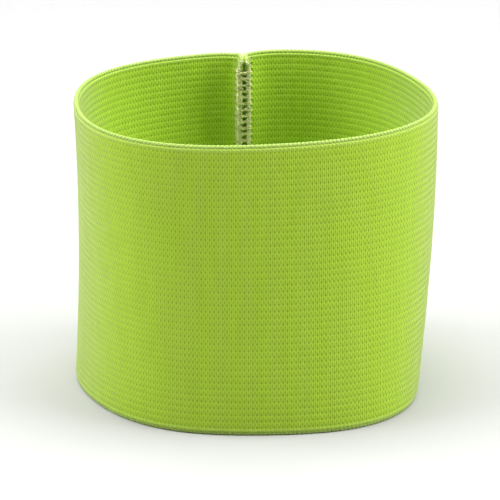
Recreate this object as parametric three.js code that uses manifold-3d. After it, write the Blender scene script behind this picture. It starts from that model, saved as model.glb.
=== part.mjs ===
// An elastic armband: one strip of woven elastic webbing, bent into a standing loop. Its two cut
// ends are turned in, laid face to face as a fin at the back, and overlocked. Rubber threads run
// through the strip from one cut end to the other, each in its own rib.
// Sizes are in millimetres. +Z is up and -Y is the front of the loop.
import * as THREE from 'three';
import { mergeVertices } from 'three/addons/utils/BufferGeometryUtils.js';
import Module from 'manifold-3d';

const wasm = await Module();
wasm.setup();

// Webbing: its width is the height of the loop, and its girth is measured round the middle of the wall
const webbingWidth = 75;
const girth = 283;
const faceThickness = 0.3;
const selvedgeWall = 0.8;
const selvedgeChamfer = 0.3;

// Rubber threads inside the webbing
const rubberCount = 44;
const rubberThickness = 0.5;
const rubberClearance = 0.15;
const rubberSnapBack = 0.4;

// Seam at the back: the wall dips in on both sides of it and turns into the two layers of the fin
const seamTurn = 93.8;
const seamDip = 2.6;
const seamDipReach = 4.4;
const bendRadius = 0.9;
const bendTurn = 60;
const finRootInset = 0.7;
const finDepth = 5;
const finRootGap = 0.3;
const finTipGap = 1;

// Sewing thread
const threadThickness = 0.4;
const threadClearance = 0.12;
const needleDepth = 1.4;
const needleToLooper = 0.7;
const looperOverTip = 0.5;
const looperUnderTip = 0.2;
const unstitchedTop = 3.5;
const unstitchedBottom = 2;

// Plan of each rim: a circle with a few soft lobes. The top leans to the right, and so do the wall's
// two sides at half its height
const topLobes = [
  { count: 2, share: 0.024, turn: 8 },
  { count: 3, share: 0.014, turn: -31 },
  { count: 4, share: 0.028, turn: -32 },
  { count: 5, share: 0.0055, turn: -3 },
];
const bottomLobes = [
  { count: 3, share: 0.034, turn: 60 },
  { count: 4, share: 0.0265, turn: -41 },
  { count: 5, share: 0.012, turn: 28 },
];
const lean = 0.9;
const waistLean = 1.1;

// Fineness of the solids. The dip's steps are shares of its reach
const roundStep = 15.5;
const rowHeight = 9.5;
const dipSteps = [0.4, 1, 2.5];
const bendSteps = 2;
const threadSides = 4;

const slotThickness = rubberThickness + 2 * rubberClearance;
const webbingThickness = slotThickness + 2 * faceThickness;
const rubberBorder = selvedgeWall + rubberClearance + rubberThickness / 2;
const rubberPitch = (webbingWidth - 2 * rubberBorder) / (rubberCount - 1);
const roundSteps = Math.round(girth / roundStep);
const wallRows = Math.ceil(webbingWidth / rowHeight);
const seamAngle = THREE.MathUtils.degToRad(seamTurn);
const outwardAtSeam = polar(1, seamAngle);
const rightAtSeam = polar(1, seamAngle - Math.PI / 2);

function polar(radius, angle) {
  return new THREE.Vector2(radius * Math.cos(angle), radius * Math.sin(angle));
}

// Radius of a lobed rim whose mean radius is 1
function lobedRadius(lobes, angle) {
  const share = (lobe) => lobe.share * Math.cos(lobe.count * (angle - THREE.MathUtils.degToRad(lobe.turn)));
  return lobes.reduce((radius, lobe) => radius + share(lobe), 1);
}

// Mean radius at which the middle of the wall measures the girth of the strip
function meanRadius(lobes) {
  const samples = 360;
  const rim = [];
  for (let i = 0; i < samples; i += 1) {
    const angle = (2 * Math.PI * i) / samples;
    rim.push(polar(lobedRadius(lobes, angle), angle));
  }
  const length = rim.reduce((sum, point, i) => sum + point.distanceTo(rim[(i + 1) % samples]), 0);
  return girth / length;
}

// Middle of the wall at an angle, drawn in towards the seam. The angle is within half a turn of it
function wallPoint(rim, angle) {
  const radius = rim.radius * lobedRadius(rim.lobes, angle);
  const reach = (Math.abs(angle - seamAngle) * radius) / seamDipReach;
  return polar(radius - seamDip * Math.exp(-(reach ** 1.5)), angle);
}

// A place on the fin: across to the right of the seam, and deep towards the middle of the loop
function finPoint(rim, across, deep) {
  const root = wallPoint(rim, seamAngle).addScaledVector(outwardAtSeam, -finRootInset);
  return root.addScaledVector(rightAtSeam, across).addScaledVector(outwardAtSeam, -deep);
}

// Distance of a layer's middle from the seam plane at a depth of the fin
function layerOffset(deep) {
  const gap = THREE.MathUtils.lerp(finRootGap, finTipGap, deep / finDepth);
  return (gap + webbingThickness) / 2;
}

// One turned-in end: its cut edge, the fin's root, the bend and the dip, on the right or the left
function seamSide(rim, side) {
  const points = [
    finPoint(rim, side * layerOffset(finDepth), finDepth),
    finPoint(rim, side * layerOffset(0), 0),
  ];
  for (let i = 1; i <= bendSteps; i += 1) {
    const turn = THREE.MathUtils.degToRad((bendTurn * i) / bendSteps);
    const across = layerOffset(0) + bendRadius * (1 - Math.cos(turn));
    points.push(finPoint(rim, side * across, -bendRadius * Math.sin(turn)));
  }
  for (const step of dipSteps) {
    points.push(wallPoint(rim, seamAngle - side * dipAngle(rim, step)));
  }
  return points;
}

function dipAngle(rim, step) {
  return (step * seamDipReach) / (rim.radius * lobedRadius(rim.lobes, seamAngle));
}

// Middle line of the strip from cut end to cut end, clockwise as seen from above
function middleLine(rim) {
  const start = dipAngle(rim, dipSteps.at(-1));
  const round = [];
  for (let i = 1; i < roundSteps; i += 1) {
    const turned = start + ((2 * Math.PI - 2 * start) * i) / roundSteps;
    const left = turned > Math.PI;
    round.push(wallPoint(rim, seamAngle - turned + (left ? 2 * Math.PI : 0)));
  }
  return [...seamSide(rim, 1), ...round, ...seamSide(rim, -1).reverse()];
}

// Direction away from the middle of the loop at each point of the line, mitred at the corners
function outwardLine(line) {
  return line.map((point, i) => {
    const before = point.clone().sub(line[Math.max(i - 1, 0)]).normalize();
    const after = line[Math.min(i + 1, line.length - 1)].clone().sub(point).normalize();
    const tangent = before.clone().add(after).normalize();
    const outward = new THREE.Vector2(-tangent.y, tangent.x);
    const straight = i === 0 || i === line.length - 1;
    return straight ? outward : outward.divideScalar(tangent.dot(before));
  });
}

function makeRim(lobes) {
  const rim = { lobes, radius: meanRadius(lobes) };
  rim.line = middleLine(rim);
  rim.outward = outwardLine(rim.line);
  return rim;
}

const topRim = makeRim(topLobes);
const bottomRim = makeRim(bottomLobes);
const stations = topRim.line.length;

function betweenRims(bottom, top, height) {
  const share = height / webbingWidth;
  const plan = bottom.clone().lerp(top, share);
  const sideways = Math.min((plan.x / topRim.radius) ** 2, 1);
  const shift = lean * (share - 0.5) + waistLean * sideways * 4 * share * (1 - share);
  return new THREE.Vector3(plan.x + shift, plan.y, height);
}

// A place in the strip: how far out from its middle, how high, and which station along it
function placeInStrip(out, height, station, snapBack) {
  const onRim = (rim) => {
    const place = rim.line[station].clone();
    if (station === 0 || station === stations - 1) {
      const next = rim.line[station === 0 ? 1 : stations - 2];
      place.addScaledVector(next.clone().sub(place).normalize(), snapBack);
    }
    return place.addScaledVector(rim.outward[station], out);
  };
  return betweenRims(onRim(bottomRim), onRim(topRim), height);
}

function placeInFin(across, deep, height) {
  return betweenRims(finPoint(bottomRim, across, deep), finPoint(topRim, across, deep), height);
}

// Extrudes a section in even steps and moves each step's ring to its place
function sweep(section, rings, place) {
  const geometry = new THREE.ExtrudeGeometry(section, {
    depth: rings - 1,
    steps: rings - 1,
    bevelEnabled: false,
    curveSegments: 1,
  });
  const position = geometry.getAttribute('position');
  for (let i = 0; i < position.count; i += 1) {
    const moved = place(position.getX(i), position.getY(i), Math.round(position.getZ(i)));
    position.setXYZ(i, moved.x, moved.y, moved.z);
  }
  return weld(geometry);
}

function weld(geometry) {
  geometry.deleteAttribute('normal');
  geometry.deleteAttribute('uv');
  return mergeVertices(geometry);
}

// Upright section with chamfered corners, its long sides divided into rows
function uprightSection(halfThickness, low, high, chamfer, rows) {
  const inner = halfThickness - chamfer;
  const right = [[inner, low]];
  for (let i = 0; i <= rows; i += 1) {
    right.push([halfThickness, THREE.MathUtils.lerp(low + chamfer, high - chamfer, i / rows)]);
  }
  right.push([inner, high]);
  const left = right.map(([out, height]) => [-out, height]).reverse();
  const outline = [...right, ...left].map(([out, height]) => new THREE.Vector2(out, height));
  return outline.filter((point, i) => point.distanceTo(outline[(i + 1) % outline.length]) > 0);
}

function toManifold(geometry) {
  return new wasm.Manifold(new wasm.Mesh({
    numProp: 3,
    vertProperties: new Float32Array(geometry.getAttribute('position').array),
    triVerts: new Uint32Array(geometry.getIndex().array),
  }));
}

function fromManifold(solid) {
  const mesh = solid.getMesh();
  const geometry = new THREE.BufferGeometry();
  geometry.setAttribute('position', new THREE.BufferAttribute(mesh.vertProperties, mesh.numProp));
  geometry.setIndex(new THREE.BufferAttribute(mesh.triVerts, 1));
  return geometry;
}

// The woven cover: a flat tube whose slot holds the rubber and opens at both cut ends
function webbingBlank() {
  const section = new THREE.Shape(
    uprightSection(webbingThickness / 2, 0, webbingWidth, selvedgeChamfer, wallRows),
  );
  section.holes.push(new THREE.Path(
    uprightSection(slotThickness / 2, selvedgeWall, webbingWidth - selvedgeWall, 0, wallRows),
  ));
  return sweep(section, stations, (out, height, station) => placeInStrip(out, height, station, 0));
}

// Heights between ribs where the needle goes through both layers of the fin
function stitchHeights() {
  const heights = [];
  for (let gap = 0.5; gap < rubberCount - 1; gap += 2) {
    const height = rubberBorder + gap * rubberPitch;
    if (height > unstitchedBottom && height + rubberPitch < webbingWidth - unstitchedTop) {
      heights.push(height);
    }
  }
  return heights;
}

function needleHole(height) {
  const reach = layerOffset(needleDepth) + webbingThickness;
  const radius = threadThickness / 2 + threadClearance;
  const hole = new THREE.CylinderGeometry(radius, radius, 2 * reach, threadSides);
  hole.rotateZ(seamAngle);
  const place = placeInFin(0, needleDepth, height);
  hole.translate(place.x, place.y, place.z);
  return weld(hole);
}

function webbing() {
  let solid = toManifold(webbingBlank());
  for (const height of stitchHeights()) {
    solid = solid.subtract(toManifold(needleHole(height)));
  }
  return fromManifold(solid);
}

function rubberThread(index) {
  const height = rubberBorder + index * rubberPitch;
  const half = rubberThickness / 2;
  const section = new THREE.Shape(uprightSection(half, height - half, height + half, 0, 1));
  return sweep(section, stations, (out, high, station) => placeInStrip(out, high, station, rubberSnapBack));
}

// A thread pulled taut between points: the section is carried along each run and mitred at each turn
function tautThread(route) {
  const along = route.slice(1).map((point, i) => point.clone().sub(route[i]).normalize());
  const side = new THREE.Vector3(0, 0, 1).cross(along[0]);
  if (side.length() < 0.5) side.set(1, 0, 0);
  side.normalize();
  const up = along[0].clone().cross(side);
  const corners = [];
  for (let i = 0; i < threadSides; i += 1) {
    corners.push(polar(threadThickness / 2, (2 * Math.PI * (i + 0.5)) / threadSides));
  }
  const start = (x, y) => route[0].clone().addScaledVector(side, x).addScaledVector(up, y);
  const carry = (point, ring) => {
    const before = along[ring - 1];
    const mitre = (along[ring] ?? before).clone().add(before).normalize();
    const reach = route[ring].clone().sub(point).dot(mitre) / before.dot(mitre);
    return point.clone().addScaledVector(before, reach);
  };
  const place = (x, y, ring) => {
    let point = start(x, y);
    for (let i = 1; i <= ring; i += 1) point = carry(point, i);
    return point;
  };
  return sweep(new THREE.Shape(corners), route.length, place);
}

// Distance from the seam plane at which a thread lies on the free face of a layer
function onFreeFace(deep) {
  return layerOffset(deep) + webbingThickness / 2 + threadClearance + threadThickness / 2;
}

// The needle thread goes through both layers, up one rib pair on the far side, and back
function needleRoute() {
  const face = onFreeFace(needleDepth);
  return stitchHeights().flatMap((height, i) => {
    const side = i % 2 === 0 ? 1 : -1;
    return [placeInFin(side * face, needleDepth, height), placeInFin(-side * face, needleDepth, height)];
  });
}

// The upper looper thread lies on the right layer and lashes over both cut edges, to the lower one
function upperLooperRoute() {
  const near = needleDepth + needleToLooper;
  const over = finDepth + looperOverTip;
  const right = onFreeFace(finDepth);
  const left = -layerOffset(finDepth) - webbingThickness / 2;
  return stitchHeights().flatMap((height) => {
    const next = height + rubberPitch;
    return [
      placeInFin(onFreeFace(near), near, height),
      placeInFin(right, over, height),
      placeInFin(left, over, height),
      placeInFin(left, over, next),
      placeInFin(right, over, next),
      placeInFin(onFreeFace(near), near, next),
    ];
  });
}

// The lower looper thread zigzags on the left layer, from the needle line to its cut edge
function lowerLooperRoute() {
  const near = needleDepth + needleToLooper;
  const far = finDepth - looperUnderTip;
  return stitchHeights().flatMap((height) => {
    const next = height + rubberPitch;
    return [
      placeInFin(-onFreeFace(near), near, height),
      placeInFin(-onFreeFace(far), far, height),
      placeInFin(-onFreeFace(far), far, next),
      placeInFin(-onFreeFace(near), near, next),
    ];
  });
}

const wovenLime = { color: '#a4c93f', roughness: 0.85, metalness: 0 };
const naturalRubber = { color: '#e6dfbe', roughness: 0.6, metalness: 0 };
const paleThread = { color: '#cbd98c', roughness: 0.7, metalness: 0 };

function named(name, geometry, finish) {
  geometry.computeVertexNormals();
  const mesh = new THREE.Mesh(geometry, new THREE.MeshStandardMaterial(finish));
  mesh.name = name;
  return mesh;
}

const armband = new THREE.Group();
armband.add(named('elastic_webbing', webbing(), wovenLime));
for (let i = 0; i < rubberCount; i += 1) {
  const number = String(i + 1).padStart(2, '0');
  armband.add(named(`rubber_thread_${number}`, rubberThread(i), naturalRubber));
}
armband.add(named('seam_needle_thread', tautThread(needleRoute()), paleThread));
armband.add(named('seam_upper_looper_thread', tautThread(upperLooperRoute()), paleThread));
armband.add(named('seam_lower_looper_thread', tautThread(lowerLooperRoute()), paleThread));

// The loop stands centred on its origin
const box = new THREE.Box3().setFromObject(armband);
const centre = box.getCenter(new THREE.Vector3());
armband.position.set(-centre.x, -centre.y, -box.min.z);

export default armband;
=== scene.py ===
"""An elastic armband, made round the packed CAD model as a small Blender add-on.

It weaves the webbing with its ribs and selvedges, runs the rubber inside it, sews the two cut ends
into a fin, frays them, and sets a plain studio round the band. Lengths are in metres.
"""

import math
import random

import bmesh
import bpy
from bpy.props import FloatProperty, FloatVectorProperty, IntProperty, PointerProperty
from mathutils import Matrix, Vector


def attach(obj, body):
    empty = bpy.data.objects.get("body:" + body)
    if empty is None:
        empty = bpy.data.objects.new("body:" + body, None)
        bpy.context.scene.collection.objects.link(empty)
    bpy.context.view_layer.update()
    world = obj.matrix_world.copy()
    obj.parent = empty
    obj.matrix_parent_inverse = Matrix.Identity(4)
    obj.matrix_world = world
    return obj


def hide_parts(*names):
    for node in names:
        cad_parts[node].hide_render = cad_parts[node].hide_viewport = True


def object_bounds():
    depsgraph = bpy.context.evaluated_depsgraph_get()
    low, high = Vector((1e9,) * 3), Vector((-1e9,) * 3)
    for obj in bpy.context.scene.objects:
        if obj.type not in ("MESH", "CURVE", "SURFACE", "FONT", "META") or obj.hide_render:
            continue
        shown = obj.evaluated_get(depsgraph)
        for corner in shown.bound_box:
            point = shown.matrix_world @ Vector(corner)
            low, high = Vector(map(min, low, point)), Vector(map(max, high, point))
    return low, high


bl_info = {
    "name": "Elastic Armband",
    "version": (1, 0, 0),
    "blender": (4, 5, 0),
    "location": "View3D > Sidebar > Armband",
    "description": "Makes a woven elastic armband round its CAD frame",
    "category": "Object",
}

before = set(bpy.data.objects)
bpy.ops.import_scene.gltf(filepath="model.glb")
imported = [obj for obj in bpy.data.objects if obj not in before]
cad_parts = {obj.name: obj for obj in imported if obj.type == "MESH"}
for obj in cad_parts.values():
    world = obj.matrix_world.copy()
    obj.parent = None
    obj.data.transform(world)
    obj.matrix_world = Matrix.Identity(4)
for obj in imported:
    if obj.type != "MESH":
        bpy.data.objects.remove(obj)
cad_low, cad_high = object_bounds()

MM = 0.001
FLOOR_SIZE = 30
LIGHTS_AIM = Vector((0, 0, 0.04))
WEAVE_MAP = "OFBake"
CORD_MAP = "AlongCord"

# Plan of each rim: a circle with soft lobes, given as count, share of the radius and turn
TOP_LOBES = ((2, 0.0243, 8.4), (3, 0.0137, -31.2), (4, 0.0278, -32.1), (5, 0.0055, -3.5))
BOTTOM_LOBES = ((2, 0.0021, -87), (3, 0.0339, 59.9), (4, 0.0265, -40.7), (5, 0.012, 28.3))


def length_of(name, description, default_mm):
    return FloatProperty(
        name=name, description=description, default=default_mm * MM, unit="LENGTH", precision=5
    )


def share_of(name, description, default):
    return FloatProperty(
        name=name, description=description, default=default, subtype="FACTOR", min=0, max=1
    )


def power_of(name, description, default):
    return FloatProperty(name=name, description=description, default=default, unit="POWER")


def colour_of(name, description, default):
    return FloatVectorProperty(
        name=name, description=description, default=default, subtype="COLOR", size=3, min=0, max=1
    )


def count_of(name, description, default):
    return IntProperty(name=name, description=description, default=default, min=1)


def turn_of(name, description, default_degrees):
    return FloatProperty(
        name=name, description=description, default=math.radians(default_degrees), subtype="ANGLE"
    )


class LoopSizes(bpy.types.PropertyGroup):
    """The strip of webbing and the standing loop that it is bent into"""

    width: FloatProperty(
        name="Width", description="Width of the webbing, which is the height of the loop",
        default=cad_high.z - cad_low.z, unit="LENGTH", precision=5,
    )
    girth: length_of("Girth", "Length of the wall round its middle, without the fin", 283.4)
    lean: length_of("Lean", "How far the top of the loop leans to the right of its foot", 0.9)
    waist_lean: length_of("Waist lean", "How far both sides lean to the right halfway up", 1.1)
    seam_turn: turn_of("Seam turn", "Where the seam is, round from the right-hand side", 93.8)
    seam_dip: length_of("Seam dip", "How far the wall is drawn in at the seam", 2.6)
    dip_reach: length_of("Dip reach", "How far from the seam the wall is drawn in", 4.4)
    bend_radius: length_of("Bend radius", "Radius at which the wall turns into the fin", 0.85)
    bend_turn: turn_of("Bend turn", "How far the wall turns on that radius", 60)
    root_inset: length_of("Root inset", "From the bottom of the dip to the fin's root", 0.7)
    fin_depth: length_of("Fin depth", "How far the two cut ends are turned in", 5)
    root_gap: length_of("Root gap", "Gap between the layers at the fin's root", 0.06)
    tip_gap: length_of("Tip gap", "Gap between the layers at their cut edges", 1.05)
    pinch: length_of("Pinch", "How far down from its top rim the fin is drawn shut", 1.2)
    squeeze: share_of("Squeeze", "How much thinner the webbing is at its lashed cut edges", 0.3)
    layer: length_of("Layer", "Thickness of the webbing that the layers are set out with", 1.4)


class WeaveSizes(bpy.types.PropertyGroup):
    """Ribs, columns and selvedges of the webbing"""

    rubber_count: count_of("Rubber threads", "Rubber threads across the webbing", 44)
    rubber_border: length_of("Border", "From the rim to the middle of the first rubber thread", 1.2)
    rubber_thickness: length_of("Rubber thickness", "Diameter of a rubber thread", 0.5)
    snap_back: length_of("Snap back", "How far the rubber draws back from the cut edge", 0.4)
    crest: length_of("Rib crest", "From the middle of the wall to the crest of a rib", 0.73)
    groove: length_of("Rib groove", "From the middle of the wall to the groove between ribs", 0.6)
    tiles: count_of("Repeats", "Stretches of the strip over which the weave repeats", 5)
    tile_columns: count_of("Columns", "Columns of the weave in one stretch", 56)


class SewingSizes(bpy.types.PropertyGroup):
    """Threads of the overlocked seam"""

    thickness: length_of("Thread", "Diameter of the sewing thread", 0.4)
    bulk: length_of("Looper bulk", "Diameter of the textured looper threads", 0.95)
    sink: length_of("Sink", "How far a thread presses into the cloth that it lies on", 0.16)
    needle_depth: length_of("Needle line", "From the fin's root to the needle thread", 1.4)
    needle_to_looper: length_of("Looper line", "From the needle thread to the loopers' turns", 0.7)
    over_tip: length_of("Over the edge", "How far the upper looper stands off the cut edges", 0.35)
    under_tip: length_of("Under the edge", "How far the lower looper stays off its cut edge", 0.2)
    free_top: length_of("Free top", "Height at the top of the fin that isn't sewn", 3.5)
    free_bottom: length_of("Free bottom", "Height at the bottom of the fin that isn't sewn", 2)


class FinishSettings(bpy.types.PropertyGroup):
    """Colours of the yarns and of the rubber"""

    lime: colour_of("Yarn", "Crests of the woven yarn", (0.475, 0.71, 0.044))
    # lime_shade is painted shade: the yarn as it looks deep between the yarns and in the pits
    lime_shade: colour_of("Between yarns", "Deep between the yarns", (0.15, 0.29, 0.008))
    # The selvedge colour is a paler, whiter lime than the yarn: painted light from above on the
    # rims
    edge: colour_of("Selvedge", "Yarn turns along both rims", (0.46, 0.65, 0.12))
    # The fringe colour is paler than the yarn the ends are cut from: painted light on the cut ends,
    # which the lamps barely reach
    fringe: colour_of("Fringe", "Cut ends of the yarns", (0.86, 0.92, 0.48))
    thread: colour_of("Sewing thread", "Overlocking thread", (0.90, 0.88, 0.46))
    rubber: colour_of("Rubber", "Rubber threads", (0.75, 0.70, 0.46))


class StageSettings(bpy.types.PropertyGroup):
    """Camera, floor and lights"""

    distance: length_of("Camera distance", "From the camera to the middle of the loop", 888)
    elevation: turn_of("Elevation", "How far the camera looks down", 18.67)
    roll: turn_of("Roll", "How far the camera is turned about its own line of sight", -0.69)
    lens: FloatProperty(name="Lens", description="Focal length", default=249.2, unit="CAMERA")
    aim_right: length_of("Aim right", "How far right of the loop's middle the camera aims", -0.95)
    aim_up: length_of("Aim up", "How far above the loop's middle the camera aims", -3.53)
    room_light: FloatProperty(
        name="Room light", description="Strength of the light all round", default=0.06
    )
    side_light: power_of("Right light", "Power of the light on the right", 11.5)
    left_share: share_of("Left light", "Power of the light on the left, as a share of that", 0.95)
    top_light: power_of("Top light", "Power of the light overhead", 21.0)
    floor_colour: colour_of("Floor", "Colour of the floor", (0.50, 0.50, 0.50))


# ---------------------------------------------------------------------------------------------
# Shape of the loop


def polar(radius, angle):
    return Vector((radius * math.cos(angle), radius * math.sin(angle)))


def blend(a, b, share):
    return a + (b - a) * share


def clamp(share):
    return min(max(share, 0), 1)


def heading_at(route, i):
    """Direction of a route at one of its points"""
    return (route[min(i + 1, len(route) - 1)] - route[max(i - 1, 0)]).normalized()


def running_length(route):
    """Length along a route to each of its points"""
    run = [0.0]
    for before, after in zip(route, route[1:]):
        run.append(run[-1] + (after - before).length)
    return run


class Rim:
    """Plan of one rim of the loop: the middle of the wall, from the right cut edge to the left"""

    fin_steps = 12
    bend_steps = 5
    join_steps = 3
    dip_steps = 9
    round_steps = 122
    girth_samples = 360

    # The dip has stations of its own between these distances from the seam, in reaches of the dip
    dip_start = 0.38
    dip_end = 2.5
    dip_power = 1.5

    # The layers lie close for this share of the fin's depth, and then part towards their cut edges
    closed_share = 0.82
    parting_power = 1.3

    def __init__(self, sizes, lobes):
        self.sizes = sizes
        self.lobes = lobes
        # The girth of a rim of radius 1 gives the radius that has the girth asked for
        self.radius = 1
        self.radius = sizes.girth / self.lobed_length()
        self.outward_at_seam = polar(1, sizes.seam_turn)
        self.right_at_seam = polar(1, sizes.seam_turn - math.pi / 2)
        self.line = self.middle_line()
        self.outward = self.outward_line()

    def lobed_radius(self, angle):
        waves = (
            share * math.cos(count * (angle - math.radians(turn)))
            for count, share, turn in self.lobes
        )
        return self.radius * (1 + sum(waves))

    def lobed_length(self):
        turns = [2 * math.pi * i / self.girth_samples for i in range(self.girth_samples)]
        rim = [polar(self.lobed_radius(turn), turn) for turn in turns]
        return sum((rim[i] - rim[i - 1]).length for i in range(self.girth_samples))

    def wall_point(self, across_turn):
        """Middle of the wall at a turn from the seam, drawn in towards it"""
        angle = self.sizes.seam_turn + across_turn
        radius = self.lobed_radius(angle)
        reach = abs(across_turn) * radius / self.sizes.dip_reach
        drawn_in = self.sizes.seam_dip * math.exp(-(reach**self.dip_power))
        return polar(radius - drawn_in, angle)

    def fin_point(self, across, deep):
        root = self.wall_point(0) - self.outward_at_seam * self.sizes.root_inset
        return root + self.right_at_seam * across - self.outward_at_seam * deep

    def opening(self, deep):
        """Gap between the two layers at a depth of the fin"""
        share = clamp((deep / self.sizes.fin_depth - self.closed_share) / (1 - self.closed_share))
        return blend(self.sizes.root_gap, self.sizes.tip_gap, share**self.parting_power)

    def thinness(self, deep):
        """Share of its thickness that the webbing keeps at a depth of the fin"""
        return 1 - self.sizes.squeeze * clamp(deep / self.sizes.fin_depth) ** 2

    def layer_offset(self, deep):
        """Distance of a layer's middle from the seam plane at a depth of the fin"""
        return (self.opening(deep) + self.sizes.layer * self.thinness(deep)) / 2

    def dip_turn(self, share):
        return share * self.sizes.dip_reach / self.lobed_radius(self.sizes.seam_turn)

    def seam_side(self, side):
        """One turned-in end: its cut edge, the fin's root, the bend, the join and the dip"""
        s = self.sizes
        points = []
        for i in range(self.fin_steps + 1):
            deep = s.fin_depth * (1 - i / self.fin_steps)
            points.append(self.fin_point(side * self.layer_offset(deep), deep))
        for i in range(1, self.bend_steps + 1):
            turn = s.bend_turn * i / self.bend_steps
            across = self.layer_offset(0) + s.bend_radius * (1 - math.cos(turn))
            points.append(self.fin_point(side * across, -s.bend_radius * math.sin(turn)))
        start = points[-1]
        heading = self.right_at_seam * side * math.sin(s.bend_turn)
        heading += self.outward_at_seam * math.cos(s.bend_turn)
        first = -side * self.dip_turn(self.dip_start)
        last = -side * self.dip_turn(self.dip_end)
        end = self.wall_point(first)
        leaving = (self.wall_point(first * 1.01) - end).normalized()
        span = (end - start).length
        for i in range(1, self.join_steps):
            share = i / self.join_steps
            points.append(hermite(start, heading * span, end, leaving * span, share))
        for i in range(self.dip_steps + 1):
            points.append(self.wall_point(blend(first, last, i / self.dip_steps)))
        return points

    def middle_line(self):
        start = self.dip_turn(self.dip_end)
        around = []
        for i in range(1, self.round_steps):
            turned = start + (2 * math.pi - 2 * start) * i / self.round_steps
            around.append(self.wall_point(-turned if turned <= math.pi else 2 * math.pi - turned))
        return [*self.seam_side(1), *around, *reversed(self.seam_side(-1))]

    def outward_line(self):
        outward = []
        for i in range(len(self.line)):
            along = heading_at(self.line, i)
            outward.append(Vector((-along.y, along.x)))
        return outward


def hermite(start, leaving, end, arriving, t):
    """A point at share t of a smooth curve that leaves and arrives in given directions"""
    square, cube = t * t, t * t * t
    place = start * (2 * cube - 3 * square + 1) + leaving * (cube - 2 * square + t)
    return place + end * (3 * square - 2 * cube) + arriving * (cube - square)


class Strip:
    """The strip of webbing in its place: a point is given by station, way out and height"""

    outline_levels = 8

    def __init__(self, sizes):
        self.sizes = sizes
        self.bottom = Rim(sizes, BOTTOM_LOBES)
        self.top = Rim(sizes, TOP_LOBES)
        self.stations = len(self.top.line)
        # The outline is measured once about zero, and then moved onto the middle of the CAD's box
        self.centre = Vector((0, 0, 0))
        self.centre = self.middle_of_outline() - (cad_low + cad_high) / 2
        self.centre.z = -cad_low.z
        middle = [self.place(i, 0, sizes.width / 2) for i in range(self.stations)]
        self.run = running_length(middle)
        self.length = self.run[-1]

    def middle_of_outline(self):
        half = self.sizes.layer / 2
        places = []
        for station in range(self.stations):
            for level in range(self.outline_levels + 1):
                height = self.sizes.width * level / self.outline_levels
                places.append(self.place(station, half, height))
        low = Vector((min(p.x for p in places), min(p.y for p in places), 0))
        high = Vector((max(p.x for p in places), max(p.y for p in places), 0))
        return (low + high) / 2

    def between(self, on_bottom, on_top, height):
        """Place at a height between a point of the bottom rim and one of the top rim"""
        share = height / self.sizes.width
        plan = blend(on_bottom, on_top, share)
        sideways = min((plan.x / self.top.radius) ** 2, 1)
        waist = 4 * share * (1 - share)
        shift = self.sizes.lean * (share - 0.5) + self.sizes.waist_lean * sideways * waist
        return Vector((plan.x + shift, plan.y, height)) - self.centre

    def place(self, station, out, height):
        low = min(int(station), self.stations - 2)
        share = station - low
        side, deep = self.depth_in_fin(station)
        shut = side * self.top.opening(deep) / 2 * self.shut(height)
        out *= self.top.thinness(deep)

        def on_rim(rim):
            middle = blend(rim.line[low], rim.line[low + 1], share)
            outward = blend(rim.outward[low], rim.outward[low + 1], share)
            return middle + outward.normalized() * out - rim.right_at_seam * shut

        return self.between(on_rim(self.bottom), on_rim(self.top), height)

    def depth_in_fin(self, station):
        """Which layer of the fin a station is in, and how deep: 1 is the right one, 0 is neither"""
        from_end = min(station, self.stations - 1 - station)
        if from_end >= Rim.fin_steps:
            return 0, 0
        side = 1 if station == from_end else -1
        return side, self.sizes.fin_depth * (1 - from_end / Rim.fin_steps)

    def shut(self, height):
        """How far the fin is drawn shut at a height: 1 at its top rim"""
        return math.exp(-(((self.sizes.width - height) / self.sizes.pinch) ** 2))

    def in_fin(self, across, deep, height):
        on_bottom, on_top = self.bottom.fin_point(across, deep), self.top.fin_point(across, deep)
        return self.between(on_bottom, on_top, height)

    def station_at(self, length):
        """Station, with its fraction, at a length along the strip"""
        length = min(max(length, 0), self.length)
        low = 0
        while low < self.stations - 2 and self.run[low + 1] < length:
            low += 1
        return low + (length - self.run[low]) / (self.run[low + 1] - self.run[low])


def rib_pitch(weave, width):
    """From one rubber thread to the next, across the webbing"""
    return (width - 2 * weave.rubber_border) / (weave.rubber_count - 1)


# ---------------------------------------------------------------------------------------------
# Mesh helpers


def deselect():
    bpy.ops.object.select_all(action="DESELECT")
    bpy.context.view_layer.objects.active = None


def settle(piece, slot, finish, *nodes):
    """Gives a finished piece its finish and its place in the frame"""
    piece.data.materials.append(finish)
    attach(piece, "root")
    if nodes:
        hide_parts(*nodes)


def rounded(route, radius, steps=4):
    """A route with each corner turned on a short curve"""
    points = [route[0]]
    for before, corner, after in zip(route, route[1:], route[2:]):
        into, away = before - corner, after - corner
        near = min(radius, into.length / 2, away.length / 2)
        start, end = corner + into.normalized() * near, corner + away.normalized() * near
        for i in range(steps + 1):
            t = i / steps
            points.append(start * (1 - t) ** 2 + corner * 2 * t * (1 - t) + end * t * t)
    points.append(route[-1])
    return points


def even_steps(points, step):
    """The same route, with points an even step apart"""
    run = running_length(points)
    count = max(2, round(run[-1] / step))
    places, low = [], 0
    for i in range(count + 1):
        length = run[-1] * i / count
        while low < len(points) - 2 and run[low + 1] < length:
            low += 1
        span = max(run[low + 1] - run[low], 1e-9)
        places.append(blend(points[low], points[low + 1], (length - run[low]) / span))
    return places


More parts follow.
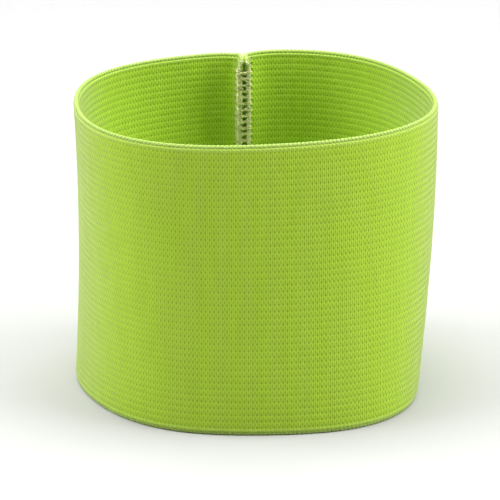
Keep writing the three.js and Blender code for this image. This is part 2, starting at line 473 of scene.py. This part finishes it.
def sweep(mesh_maker, route, section, turn_length=None, map_length=1 * MM):
    """Adds a closed tube along a route, with its section turned once in each turn_length"""
    sides = section.sides
    along = (route[1] - route[0]).normalized()
    side = along.orthogonal().normalized()
    rings, lengths = [], running_length(route)
    for i, point in enumerate(route):
        heading = heading_at(route, i)
        side = (side - heading * side.dot(heading)).normalized()
        up = heading.cross(side)
        turn = 2 * math.pi * lengths[i] / turn_length if turn_length else 0
        ring = []
        for k in range(sides):
            angle = 2 * math.pi * k / sides
            radius = section.radius_at(angle)
            offset = side * math.cos(angle + turn) + up * math.sin(angle + turn)
            ring.append(mesh_maker.verts.new(point + offset * radius))
        rings.append(ring)
    layer = mesh_maker.loops.layers.uv.get(CORD_MAP) or mesh_maker.loops.layers.uv.new(CORD_MAP)
    join_rings(mesh_maker, rings, layer, lambda i, k: (k / sides, lengths[i] / map_length))
    close_ends(mesh_maker, rings)


def join_rings(mesh_maker, rings, layer, on_map):
    """Adds the faces between each ring and the next. on_map(ring, corner) is a corner's place on
    the map, and is also asked for the corner past the last, which closes the ring"""
    sides = len(rings[0])
    for i in range(len(rings) - 1):
        for k in range(sides):
            after = (k + 1) % sides
            near, far = rings[i], rings[i + 1]
            face = mesh_maker.faces.new((near[k], near[after], far[after], far[k]))
            corners = ((i, k), (i, k + 1), (i + 1, k + 1), (i + 1, k))
            for loop, corner in zip(face.loops, corners):
                loop[layer].uv = on_map(*corner)


def close_ends(mesh_maker, rings):
    mesh_maker.faces.new(reversed(rings[0]))
    mesh_maker.faces.new(rings[-1])


class Section:
    """Section of a round thread with lobes, one for each of its plies"""

    def __init__(self, radius, sides, plies=0, lobe=0.0):
        self.radius = radius
        self.sides = sides
        self.plies = plies
        self.lobe = lobe

    def radius_at(self, angle):
        return self.radius * (1 + self.lobe * math.cos(self.plies * angle))


def finished_piece(name, mesh_maker):
    """Turns its faces outwards, smooths them and puts the piece into the scene"""
    mesh = bpy.data.meshes.new(name)
    bmesh.ops.recalc_face_normals(mesh_maker, faces=mesh_maker.faces)
    mesh_maker.to_mesh(mesh)
    mesh_maker.free()
    mesh.polygons.foreach_set("use_smooth", [True] * len(mesh.polygons))
    mesh.update()
    piece = bpy.data.objects.new(name, mesh)
    bpy.context.scene.collection.objects.link(piece)
    return piece


# ---------------------------------------------------------------------------------------------
# Finishes


class Field:
    """A number that varies over a surface, with arithmetic that adds Math nodes"""

    def __init__(self, finish, socket):
        self.finish = finish
        self.socket = socket

    def math(self, operation, *values):
        settings = {"operation": operation}
        return self.finish.number("ShaderNodeMath", settings, dict(enumerate(values)))

    def __add__(self, other):
        return self.math("ADD", self, other)

    def __radd__(self, other):
        return self.math("ADD", other, self)

    def __sub__(self, other):
        return self.math("SUBTRACT", self, other)

    def __rsub__(self, other):
        return self.math("SUBTRACT", other, self)

    def __mul__(self, other):
        return self.math("MULTIPLY", self, other)

    def __rmul__(self, other):
        return self.math("MULTIPLY", other, self)

    def __truediv__(self, other):
        return self.math("DIVIDE", self, other)

    def __pow__(self, other):
        return self.math("POWER", self, other)

    def __abs__(self):
        return self.math("ABSOLUTE", self)

    def sine(self):
        return self.math("SINE", self)

    def cosine(self):
        return self.math("COSINE", self)

    def smaller(self, other):
        return self.math("MINIMUM", self, other)

    def larger(self, other):
        return self.math("MAXIMUM", self, other)

    def below(self, other):
        return self.math("LESS_THAN", self, other)

    def hump(self):
        """1 where this counts a whole number of turns, and 0 half a turn away"""
        return (self * (2 * math.pi)).cosine() * 0.5 + 0.5

    def smooth(self, low, high):
        """0 up to low and 1 from high"""
        settings = {"interpolation_type": "SMOOTHSTEP"}
        return self.finish.number("ShaderNodeMapRange", settings, {0: self, 1: low, 2: high})


class Finish:
    """A material whose pattern is worked out by nodes"""

    def __init__(self, name):
        self.material = bpy.data.materials.new(name)
        self.material.use_nodes = True
        self.tree = self.material.node_tree
        self.tree.nodes.clear()

    def node(self, kind, settings=None, inputs=None):
        """Adds a node. Its settings are set first, and then its sockets get values or links"""
        made = self.tree.nodes.new(kind)
        for name, value in (settings or {}).items():
            setattr(made, name, value)
        for name, value in (inputs or {}).items():
            socket = made.inputs[name]
            value = value.socket if isinstance(value, Field) else value
            if isinstance(value, bpy.types.NodeSocket):
                self.tree.links.new(value, socket)
            else:
                socket.default_value = value
        return made

    def number(self, kind, settings, inputs):
        return Field(self, self.node(kind, settings, inputs).outputs[0])

    def mix(self, factor, low, high):
        """A colour between two others"""
        inputs = {0: factor, 6: self.colour(low), 7: self.colour(high)}
        return self.node("ShaderNodeMix", {"data_type": "RGBA"}, inputs).outputs[2]

    def colour(self, value):
        return value if isinstance(value, bpy.types.NodeSocket) else (*value, 1)

    def on_map(self, name):
        """The two coordinates of one of the piece's UV maps"""
        uv = self.node("ShaderNodeUVMap", {"uv_map": name}).outputs[0]
        parts = self.node("ShaderNodeSeparateXYZ", None, {0: uv})
        return Field(self, parts.outputs[0]), Field(self, parts.outputs[1])

    def noise(self, x, y, z, scale, detail=2.0):
        """Soft noise over three coordinates, from 0 to 1"""
        place = self.node("ShaderNodeCombineXYZ", None, {0: x, 1: y, 2: z}).outputs[0]
        inputs = {"Vector": place, "Scale": scale, "Detail": detail, "Roughness": 0.6}
        return self.number("ShaderNodeTexNoise", None, inputs)

    def finished(self, colour, roughness, height, depth, uniform):
        """Ends the material in a Principled shader, with its relief as a bump of that depth"""
        relief = {"Height": height, "Distance": depth, "Strength": 1.0}
        bump = self.node("ShaderNodeBump", None, relief).outputs[0]
        inputs = {"Base Color": colour, "Roughness": roughness, "Normal": bump, **uniform}
        shader = self.node("ShaderNodeBsdfPrincipled", None, inputs)
        self.node("ShaderNodeOutputMaterial", None, {0: shader.outputs[0]})
        return self.material


def woven_finish(settings, weave, width):
    """Weft yarns in pairs, drawn together in turn between the rubber threads and over them"""
    finish = Finish("WovenYarn")
    along, round_section = finish.on_map(WEAVE_MAP)
    pitch = rib_pitch(weave, width)
    column = along * weave.tile_columns
    depth = abs(round_section - 0.5) * (2 * width)
    row = (depth - weave.rubber_border) / pitch
    outside = round_section.below(0.5)

    # Below the selvedge runs a groove. Past it, over the first rubber thread, the yarns lie aslant
    groove_depth, groove_core, groove_reach = 0.86 * MM, 0.10 * MM, 0.26 * MM
    edge = depth.smaller(width - depth)
    groove = 1 - abs(edge - groove_depth).smooth(groove_core, groove_reach)
    edge_row = (edge - weave.rubber_border) / pitch
    first_rib = 1 - edge_row.smooth(0.18, 0.48)
    slant, loop_roundness = 0.9, 0.7
    loop = (column + edge_row * slant).hump() ** loop_roundness * first_rib

    # Each yarn sways from side to side, and leaves a deep pit between ribs and a small one on them
    sway, small_pit_share = 0.11, 0.4
    turn = column * (2 * math.pi)
    beat = ((row - 0.5) * (2 * math.pi)).cosine()
    yarn = 1 - ((column + turn.sine() * beat * sway) * 2).hump()
    deep_pit = ((column + 0.5).hump() ** 3.2) * ((row - 0.5).hump() ** 1.7)
    small_pit = (column.hump() ** 3.4) * (row.hump() ** 2.2)
    pit = (deep_pit + small_pit * small_pit_share).smaller(1) * (1 - first_rib)

    # Slow unevenness of the dye and a little of each yarn's own. It closes on itself each repeat
    circle = along * (2 * math.pi)

    def unevenness(per_turn, per_section):
        place = (circle.cosine() * per_turn, circle.sine() * per_turn, round_section * per_section)
        return finish.noise(*place, 1.0) - 0.5

    slow, own, fibre = unevenness(3, 12), unevenness(60, 14), unevenness(180, 300)

    # From 0 deep between the yarns to 1 on their crests: painted shade between the yarns and in the
    # pits, and the pits get deeper painted shade on the outer face
    light = yarn * 0.34 + 0.66 - pit * (outside * 0.16 + 0.18)
    # The dye's unevenness is added here, and painted shade darkens the yarn in the groove below the
    # selvedge
    light = light + slow * 0.20 + own * 0.26 + fibre * 0.10 - groove * 0.25
    woven = finish.mix(light.smaller(1).larger(0), settings.lime_shade, settings.lime)
    # The aslant yarns over the first rib take the selvedge colour, with its painted light from
    # above
    colour = finish.mix(loop * 0.8, woven, settings.edge)
    yarn_height = yarn * 0.5 * (1 - first_rib) + loop * 0.9
    height = yarn_height + fibre * 0.15 - pit * 0.6 - groove * 0.3
    uniform = {
        "Sheen Weight": 0.8,
        "Sheen Roughness": 0.27,
        "Sheen Tint": (1.0, 0.92, 0.85, 1),
        "Specular IOR Level": 0.35,
    }
    return finish.finished(colour, 0.86 - yarn * 0.14, height, 0.10 * MM, uniform)


def yarn_finish(name, base, shade, sheen):
    """Soft spun thread, with painted shade between its fibres"""
    finish = Finish(name)
    around, along = finish.on_map(CORD_MAP)
    fibre = finish.noise(around * 9, along * 1.5, 0.0, 2.0, 3.0)
    slow = finish.noise(around * 0.5, along * 0.3, 0.0, 1.0)
    light = (fibre * 0.8 + slow * 0.6 - 0.1).smaller(1).larger(0)
    colour = finish.mix(light, shade, base)
    uniform = {
        "Sheen Weight": sheen,
        "Sheen Roughness": 0.4,
        "Sheen Tint": (1.0, 1.0, 0.85, 1),
        "Specular IOR Level": 0.35,
    }
    return finish.finished(colour, 0.9 - fibre * 0.2, fibre, 0.05 * MM, uniform)


def rubber_finish(settings):
    """Natural rubber, with talc left on it"""
    finish = Finish("NaturalRubber")
    around, along = finish.on_map(CORD_MAP)
    talc = finish.noise(around * 3, along * 1.2, 0.0, 2.0, 3.0)
    base = Vector(settings.rubber)
    colour = finish.mix(talc, tuple(base * 0.8), tuple(base))
    return finish.finished(colour, talc * 0.3 + 0.45, talc, 0.02 * MM, {})


def floor_finish(colour):
    """A plain matt floor, with the slightest unevenness"""
    finish = Finish("StudioFloor")
    place = finish.node("ShaderNodeTexCoord").outputs["Object"]
    coarse = {"Vector": place, "Scale": 3.0, "Detail": 2.0}
    grain = finish.number("ShaderNodeTexNoise", None, coarse)
    base = Vector(colour)
    mixed = finish.mix(grain, tuple(base * 0.985), tuple(base))
    inputs = {"Base Color": mixed, "Roughness": 0.9}
    shader = finish.node("ShaderNodeBsdfPrincipled", None, inputs)
    finish.node("ShaderNodeOutputMaterial", None, {0: shader.outputs[0]})
    return finish.material


# ---------------------------------------------------------------------------------------------
# Webbing


# From the rim down one face: the depth below the rim, and the distance from the middle of the wall
LIP = ((0.25, 0.0), (0.27, 0.2), (0.36, 0.34), (0.5, 0.40), (0.76, 0.46), (0.9, 0.52), (1.02, 0.65))
ROWS_PER_RIB = 6
ROW_CLEARANCE = 0.1 * MM
CUT_END_ON_MAP = 0.03
CREST_ROUNDNESS = 0.6


def section_rows(loop, weave):
    """Heights and half thicknesses up one face of the webbing, from its bottom rim to its top"""
    border, pitch = weave.rubber_border, rib_pitch(weave, loop.width)
    lip = [(depth * MM, half * MM) for depth, half in LIP]
    first = lip[-1][0] + ROW_CLEARANCE
    ribs = []
    for rib in range(weave.rubber_count):
        for row in range(ROWS_PER_RIB):
            offset = row / ROWS_PER_RIB - 0.5
            depth = border + (rib + offset) * pitch
            if first < depth < loop.width - first:
                crest = abs(math.cos(math.pi * offset)) ** CREST_ROUNDNESS
                ribs.append((depth, blend(weave.groove, weave.crest, crest)))
    foot = [(loop.width - depth, half) for depth, half in reversed(lip)]
    from_top = [*lip, *ribs, *foot]
    return [(loop.width - depth, half) for depth, half in reversed(from_top)]


def weave_webbing(loop, weave, strip):
    """One closed cloth: ribs on both faces, lips along both rims, and its two cut ends"""
    rows = section_rows(loop, weave)
    outer = [(height, half, height / loop.width / 2) for height, half in rows]
    inner = [(height, -half, 1 - height / loop.width / 2) for height, half in reversed(rows[1:-1])]
    section = [*outer, *inner]
    mesh_maker = bmesh.new()
    layer = mesh_maker.loops.layers.uv.new(WEAVE_MAP)
    rings = []
    for station in range(strip.stations):
        places = [strip.place(station, out, height) for height, out, _ in section]
        rings.append([mesh_maker.verts.new(place) for place in places])
    alongs = [run / strip.length * weave.tiles - weave.tiles // 2 for run in strip.run]
    turns = [*(turn for _, _, turn in section), 1.0]
    join_rings(mesh_maker, rings, layer, lambda i, k: (alongs[i], turns[k]))
    for end, past in ((0, -1), (strip.stations - 1, 1)):
        close_cut_end(mesh_maker, layer, rings[end], len(rows), alongs[end], past, turns)
    return finished_piece("woven_webbing", mesh_maker)


def close_cut_end(mesh_maker, layer, ring, rows, along, past, turns):
    """Faces across a cut end, from the outer face's rows to the inner face's"""
    across = CUT_END_ON_MAP * past
    count = len(ring)
    for k in range(rows - 1):
        mates = [ring[k], ring[k + 1], ring[(count - k - 1) % count], ring[(count - k) % count]]
        corners = [(along, turns[k]), (along, turns[k + 1])]
        corners += [(along + across, turns[k + 1]), (along + across, turns[k])]
        kept = [i for i in range(4) if mates[i] not in mates[:i]]
        face = mesh_maker.faces.new([mates[i] for i in kept])
        for loop, i in zip(face.loops, kept):
            loop[layer].uv = corners[i]


# ---------------------------------------------------------------------------------------------
# Selvedges, rubber and sewing


class WeftTurn:
    """One arch of weft yarn over a rim. Its widths along the rim are shares of a column"""

    steps = 8
    sides = 6
    half_turn = math.radians(118)
    half_span = 0.42 * MM
    foot = 0.60 * MM
    rise = 0.38 * MM
    yarn_radius = 0.22 * MM
    taper = 0.25
    lean = 0.22
    half_width = 0.52
    map_per_turn = 2.37
    map_per_step = 0.25


def turn_selvedge(strip, weave, name, at_top):
    """A row of weft turns over one rim, one for each column of the weave"""
    width = strip.sizes.width
    columns = weave.tiles * weave.tile_columns
    pitch = strip.length / columns
    arch, sides = WeftTurn, WeftTurn.sides
    maker = bmesh.new()
    layer = maker.loops.layers.uv.new(CORD_MAP)
    for column in range(columns):
        middle = (column + 0.5) * pitch
        rings = []
        for i in range(arch.steps + 1):
            turn = blend(-arch.half_turn, arch.half_turn, i / arch.steps)
            lean = arch.lean * pitch * math.sin(turn)
            swell = 1 - arch.taper * abs(math.sin(turn)) ** 3
            ring = []
            for k in range(sides):
                angle = 2 * math.pi * k / sides
                away = arch.yarn_radius * swell * math.sin(angle)
                out = (arch.half_span + away) * math.sin(turn)
                depth = arch.foot - (arch.rise + away) * math.cos(turn)
                length = middle + lean + arch.half_width * pitch * math.cos(angle)
                height = width - depth if at_top else depth
                ring.append(maker.verts.new(strip.place(strip.station_at(length), out, height)))
            rings.append(ring)
        start = column * arch.map_per_turn
        join_rings(maker, rings, layer, lambda i, k: (k / sides, start + i * arch.map_per_step))
        close_ends(maker, rings)
    return finished_piece(name, maker)


def run_rubber(strip, weave, index):
    """One round rubber thread from cut edge to cut edge, drawn back a little inside its rib"""
    height = weave.rubber_border + index * rib_pitch(weave, strip.sizes.width)
    first = strip.station_at(weave.snap_back)
    last = strip.station_at(strip.length - weave.snap_back)
    inside = [i for i in range(strip.stations) if first < i < last]
    route = [strip.place(station, 0, height) for station in [first, *inside, last]]
    maker = bmesh.new()
    sweep(maker, route, Section(weave.rubber_thickness / 2, 6), map_length=2 * MM)
    return finished_piece(f"round_rubber_{index + 1:02d}", maker)


class Seam:
    """Places of the overlocked seam, from the same sizes as the fin"""

    def __init__(self, strip, weave, sewing):
        self.strip = strip
        self.weave = weave
        self.sewing = sewing
        self.pitch = rib_pitch(weave, strip.sizes.width)
        self.heights = self.stitch_heights()

    def stitch_heights(self):
        """Heights between ribs where the needle goes through both layers"""
        border, top = self.weave.rubber_border, self.strip.sizes.width - self.sewing.free_top
        pairs = range((self.weave.rubber_count - 1) // 2 + 1)
        heights = [border + (0.5 + 2 * pair) * self.pitch for pair in pairs]
        return [z for z in heights if z > self.sewing.free_bottom and z + self.pitch < top]

    def free_face(self, deep):
        """Distance from the seam plane to a thread's middle on the face away from it"""
        half = self.strip.sizes.layer / 2 * self.strip.top.thinness(deep)
        face = self.strip.top.layer_offset(deep) + half
        return face - self.sewing.sink + self.sewing.thickness / 2

    def needle_route(self):
        """Through both layers at each stitch, to a short tail that stands up at the top rim"""
        deep, width = self.sewing.needle_depth, self.strip.sizes.width
        face = self.free_face(deep)
        corners = []
        for i, height in enumerate(self.heights):
            side = 1 if i % 2 == 0 else -1
            corners += [(side * face, deep, height), (-side * face, deep, height)]
        corners += [(0, deep, width - deep), (0.15 * MM, -0.5 * MM, width + 0.45 * MM)]
        return [self.strip.in_fin(*corner) for corner in corners]

    def upper_looper_route(self):
        """Along the right layer, over both cut edges and back, once a stitch"""
        s, depth = self.sewing, self.strip.sizes.fin_depth
        near, over = s.needle_depth + s.needle_to_looper, depth + s.over_tip
        inner, outer = self.free_face(near), self.free_face(depth)
        corners = []
        for height in self.heights:
            after = height + self.pitch
            corners += [(inner, near, height), (outer, over, height), (-outer, over, height)]
            corners += [(-outer, over, after), (outer, over, after), (inner, near, after)]
        return [self.strip.in_fin(*corner) for corner in corners]

    def lower_looper_route(self):
        """Along the left layer, out to its cut edge and back, once a stitch"""
        s, depth = self.sewing, self.strip.sizes.fin_depth
        near, far = s.needle_depth + s.needle_to_looper, depth - s.under_tip
        corners = []
        for height in self.heights:
            after = height + self.pitch
            for deep, level in ((near, height), (far, height), (far, after), (near, after)):
                corners.append((-self.free_face(deep), deep, level))
        return [self.strip.in_fin(*corner) for corner in corners]


def sew_plied(name, route, thickness):
    """A fine thread twisted from two plies"""
    maker = bmesh.new()
    route = even_steps(rounded(route, 0.35 * MM), 0.2 * MM)
    sweep(maker, route, Section(thickness / 2, 8, plies=2, lobe=0.12), turn_length=1.6 * MM)
    return finished_piece(name, maker)


def sew_textured(name, route, radius, seed):
    """A bulky thread: a core with fine strands that wander round it"""
    strands, core_share, strand_share = 7, 0.5, 0.27
    away_share, swing_share, jitter = 0.62, 0.28, 0.08
    chance = random.Random(seed)
    maker = bmesh.new()
    route = even_steps(rounded(route, 0.3 * MM), 0.22 * MM)
    sweep(maker, route, Section(radius * core_share, 6))
    for strand in range(strands):
        phase, slow = 2 * math.pi * strand / strands, chance.uniform(0.35, 0.6)
        wave, swing = chance.uniform(0.5, 0.8), chance.uniform(0, 6)
        places, side = [], Vector((0.3, 0.2, 0.9)).normalized()
        for i, point in enumerate(route):
            heading = heading_at(route, i)
            side = (side - heading * side.dot(heading)).normalized()
            turn = phase + i * slow + 0.5 * math.sin(i * wave)
            swung = away_share + swing_share * math.sin(i * wave * 0.7 + swing)
            away = radius * (swung + chance.uniform(-jitter, jitter))
            around = side * math.cos(turn) + heading.cross(side) * math.sin(turn)
            places.append(point + around * away)
        sweep(maker, places, Section(radius * strand_share, 5))
    return finished_piece(name, maker)


def fray_cut_end(strip, weave, name, at_right):
    """Short ends of the cut yarns, standing out of one cut edge in a loose row"""
    per_rib, half_layer, clear_of_rim = 34, 0.62, 0.5 * MM
    lean_into_gap, lean_at_top, top_reach = 0.85, 0.15, 4.5 * MM
    chance = random.Random(11 if at_right else 12)
    width = strip.sizes.width
    pitch = rib_pitch(weave, width)
    maker = bmesh.new()
    end, before = (0, 1) if at_right else (strip.stations - 1, strip.stations - 2)
    for i in range(weave.rubber_count * per_rib):
        height = weave.rubber_border + (i / per_rib - 0.5) * pitch
        height += chance.uniform(-0.1, 0.1) * MM
        height = min(max(height, clear_of_rim), width - clear_of_rim)
        out = chance.uniform(-half_layer, half_layer) * MM
        start = strip.place(end, out, height)
        away = (start - strip.place(before, out, height)).normalized()
        side = (strip.place(end, out + MM, height) - start).normalized()
        reach = chance.uniform(0.45, 1.15) * MM
        lean = lean_into_gap if height < width - top_reach else lean_at_top
        bow = side * chance.uniform(-0.35, lean) * MM
        bow += Vector((0, 0, chance.uniform(-0.5, 0.4))) * MM
        middle, tip = start + away * reach * 0.5 + bow * 0.3, start + away * reach + bow
        radius = chance.uniform(0.05, 0.10) * MM
        sweep(maker, [start - away * 0.3 * MM, middle, tip], Section(radius, 4))
    return finished_piece(name, maker)


# ---------------------------------------------------------------------------------------------
# Operators


class ARMBAND_OT_weave_webbing(bpy.types.Operator):
    """Weave the webbing: one cloth with its ribs, lips and cut ends"""

    bl_idname = "armband.weave_webbing"
    bl_label = "Weave the Webbing"

    def execute(self, context):
        scene = context.scene
        strip = Strip(scene.armband_loop)
        piece = weave_webbing(scene.armband_loop, scene.armband_weave, strip)
        finish = woven_finish(scene.armband_finish, scene.armband_weave, scene.armband_loop.width)
        settle(piece, "webbing", finish, "elastic_webbing")
        return {"FINISHED"}


class ARMBAND_OT_turn_selvedges(bpy.types.Operator):
    """Turn the weft yarns over the top and bottom rims"""

    bl_idname = "armband.turn_selvedges"
    bl_label = "Turn the Selvedges"

    def execute(self, context):
        scene = context.scene
        strip = Strip(scene.armband_loop)
        # The selvedge colour holds painted light from above on the rims
        base = Vector(scene.armband_finish.edge)
        finish = yarn_finish("SelvedgeYarn", tuple(base), tuple(base * 0.6), 0.4)
        for name, at_top in (("weft_turns_top", True), ("weft_turns_bottom", False)):
            settle(turn_selvedge(strip, scene.armband_weave, name, at_top), "webbing", finish)
        return {"FINISHED"}


class ARMBAND_OT_run_rubber(bpy.types.Operator):
    """Run the rubber threads through the ribs of the webbing"""

    bl_idname = "armband.run_rubber"
    bl_label = "Run the Rubber Threads"

    def execute(self, context):
        scene = context.scene
        strip = Strip(scene.armband_loop)
        finish = rubber_finish(scene.armband_finish)
        for index in range(scene.armband_weave.rubber_count):
            piece = run_rubber(strip, scene.armband_weave, index)
            settle(piece, "rubber", finish, f"rubber_thread_{index + 1:02d}")
        return {"FINISHED"}


class ARMBAND_OT_sew_seam(bpy.types.Operator):
    """Sew the needle thread and both looper threads of the overlocked fin"""

    bl_idname = "armband.sew_seam"
    bl_label = "Sew the Seam"

    def execute(self, context):
        scene = context.scene
        sewing = scene.armband_sewing
        seam = Seam(Strip(scene.armband_loop), scene.armband_weave, sewing)
        base = Vector(scene.armband_finish.thread)
        finish = yarn_finish("SewingThread", tuple(base), tuple(base * 0.7), 0.5)
        needle = sew_plied("needle_stitches", seam.needle_route(), sewing.thickness)
        settle(needle, "sewing_thread", finish, "seam_needle_thread")
        upper, lower = seam.upper_looper_route(), seam.lower_looper_route()
        for layer, route, seed in (("upper", upper, 21), ("lower", lower, 22)):
            looper = sew_textured(f"{layer}_looper_stitches", route, sewing.bulk / 2, seed)
            settle(looper, "sewing_thread", finish, f"seam_{layer}_looper_thread")
        return {"FINISHED"}


class ARMBAND_OT_fray_cut_ends(bpy.types.Operator):
    """Fray the two cut edges inside the seam"""

    bl_idname = "armband.fray_cut_ends"
    bl_label = "Fray the Cut Ends"

    def execute(self, context):
        scene = context.scene
        strip = Strip(scene.armband_loop)
        # The fringe colour holds painted light on the cut ends
        base = Vector(scene.armband_finish.fringe)
        finish = yarn_finish("CutYarn", tuple(base), tuple(base * 0.8), 0.6)
        for name, at_right in (("cut_yarns_right", True), ("cut_yarns_left", False)):
            settle(fray_cut_end(strip, scene.armband_weave, name, at_right), "webbing", finish)
        return {"FINISHED"}


class ARMBAND_OT_set_stage(bpy.types.Operator):
    """Set the camera, the floor and the lights"""

    bl_idname = "armband.set_stage"
    bl_label = "Set the Stage"

    def execute(self, context):
        stage = context.scene.armband_stage
        deselect()
        self.add_camera(context, stage)
        self.add_floor(stage)
        self.add_lights(stage)
        self.light_room(context, stage)
        context.scene.view_settings.view_transform = "Standard"
        return {"FINISHED"}

    def add_camera(self, context, stage):
        strip = Strip(context.scene.armband_loop)
        middle = Vector((0, 0, context.scene.armband_loop.width / 2)) - strip.centre
        back = Vector((0, -math.cos(stage.elevation), math.sin(stage.elevation)))
        up = Vector((0, math.sin(stage.elevation), math.cos(stage.elevation)))
        aim = middle + Vector((stage.aim_right, 0, 0)) + up * stage.aim_up
        turn = (-back).to_track_quat("-Z", "Y").to_matrix() @ Matrix.Rotation(stage.roll, 3, "Z")
        bpy.ops.object.camera_add(location=aim + back * stage.distance, rotation=turn.to_euler())
        camera = context.object
        camera.name = "studio_camera"
        camera.data.lens = stage.lens
        camera.data.sensor_width = 36
        camera.data.clip_start = 0.05
        camera.data.clip_end = 50
        context.scene.camera = camera

    def add_floor(self, stage):
        deselect()
        bpy.ops.mesh.primitive_plane_add(size=FLOOR_SIZE)
        floor = bpy.context.object
        floor.name = "studio_floor"
        floor.data.materials.append(floor_finish(stage.floor_colour))

    def add_lights(self, stage):
        lights = (
            ("left_softbox", (-0.85, -0.02, 0.75), 0.8, stage.side_light * stage.left_share),
            ("right_softbox", (0.85, -0.14, 0.70), 0.8, stage.side_light),
            ("top_softbox", (0.0, 0.16, 1.2), 1.0, stage.top_light),
        )
        for name, place, size, power in lights:
            deselect()
            turn = (Vector(place) - LIGHTS_AIM).to_track_quat("Z", "Y").to_euler()
            bpy.ops.object.light_add(type="AREA", location=place, rotation=turn)
            light = bpy.context.object
            light.name = name
            light.data.shape = "SQUARE"
            light.data.size = size
            light.data.energy = power

    def light_room(self, context, stage):
        world = bpy.data.worlds.new("StudioRoom")
        world.use_nodes = True
        background = world.node_tree.nodes["Background"]
        background.inputs["Color"].default_value = (1, 1, 1, 1)
        background.inputs["Strength"].default_value = stage.room_light
        context.scene.world = world


class ARMBAND_PT_build(bpy.types.Panel):
    """Sizes, finishes and the steps that make the armband"""

    bl_label = "Elastic Armband"
    bl_idname = "ARMBAND_PT_build"
    bl_space_type = "VIEW_3D"
    bl_region_type = "UI"
    bl_category = "Armband"

    def draw(self, context):
        for operator in STEPS:
            self.layout.operator(operator.bl_idname)
        for name, group in GROUPS.items():
            box = self.layout.box()
            box.label(text=group.__doc__)
            for prop in group.__annotations__:
                box.prop(getattr(context.scene, name), prop)


GROUPS = {
    "armband_loop": LoopSizes,
    "armband_weave": WeaveSizes,
    "armband_sewing": SewingSizes,
    "armband_finish": FinishSettings,
    "armband_stage": StageSettings,
}
STEPS = (
    ARMBAND_OT_set_stage,
    ARMBAND_OT_weave_webbing,
    ARMBAND_OT_turn_selvedges,
    ARMBAND_OT_run_rubber,
    ARMBAND_OT_sew_seam,
    ARMBAND_OT_fray_cut_ends,
)
CLASSES = (*GROUPS.values(), *STEPS, ARMBAND_PT_build)


def register():
    for made in CLASSES:
        bpy.utils.register_class(made)
    for name, group in GROUPS.items():
        setattr(bpy.types.Scene, name, PointerProperty(type=group))


def unregister():
    for name in GROUPS:
        delattr(bpy.types.Scene, name)
    for made in reversed(CLASSES):
        bpy.utils.unregister_class(made)


def main():
    register()
    bpy.ops.armband.set_stage()
    bpy.ops.armband.weave_webbing()
    bpy.ops.armband.turn_selvedges()
    bpy.ops.armband.run_rubber()
    bpy.ops.armband.sew_seam()
    bpy.ops.armband.fray_cut_ends()


if __name__ == "__main__":
    main()
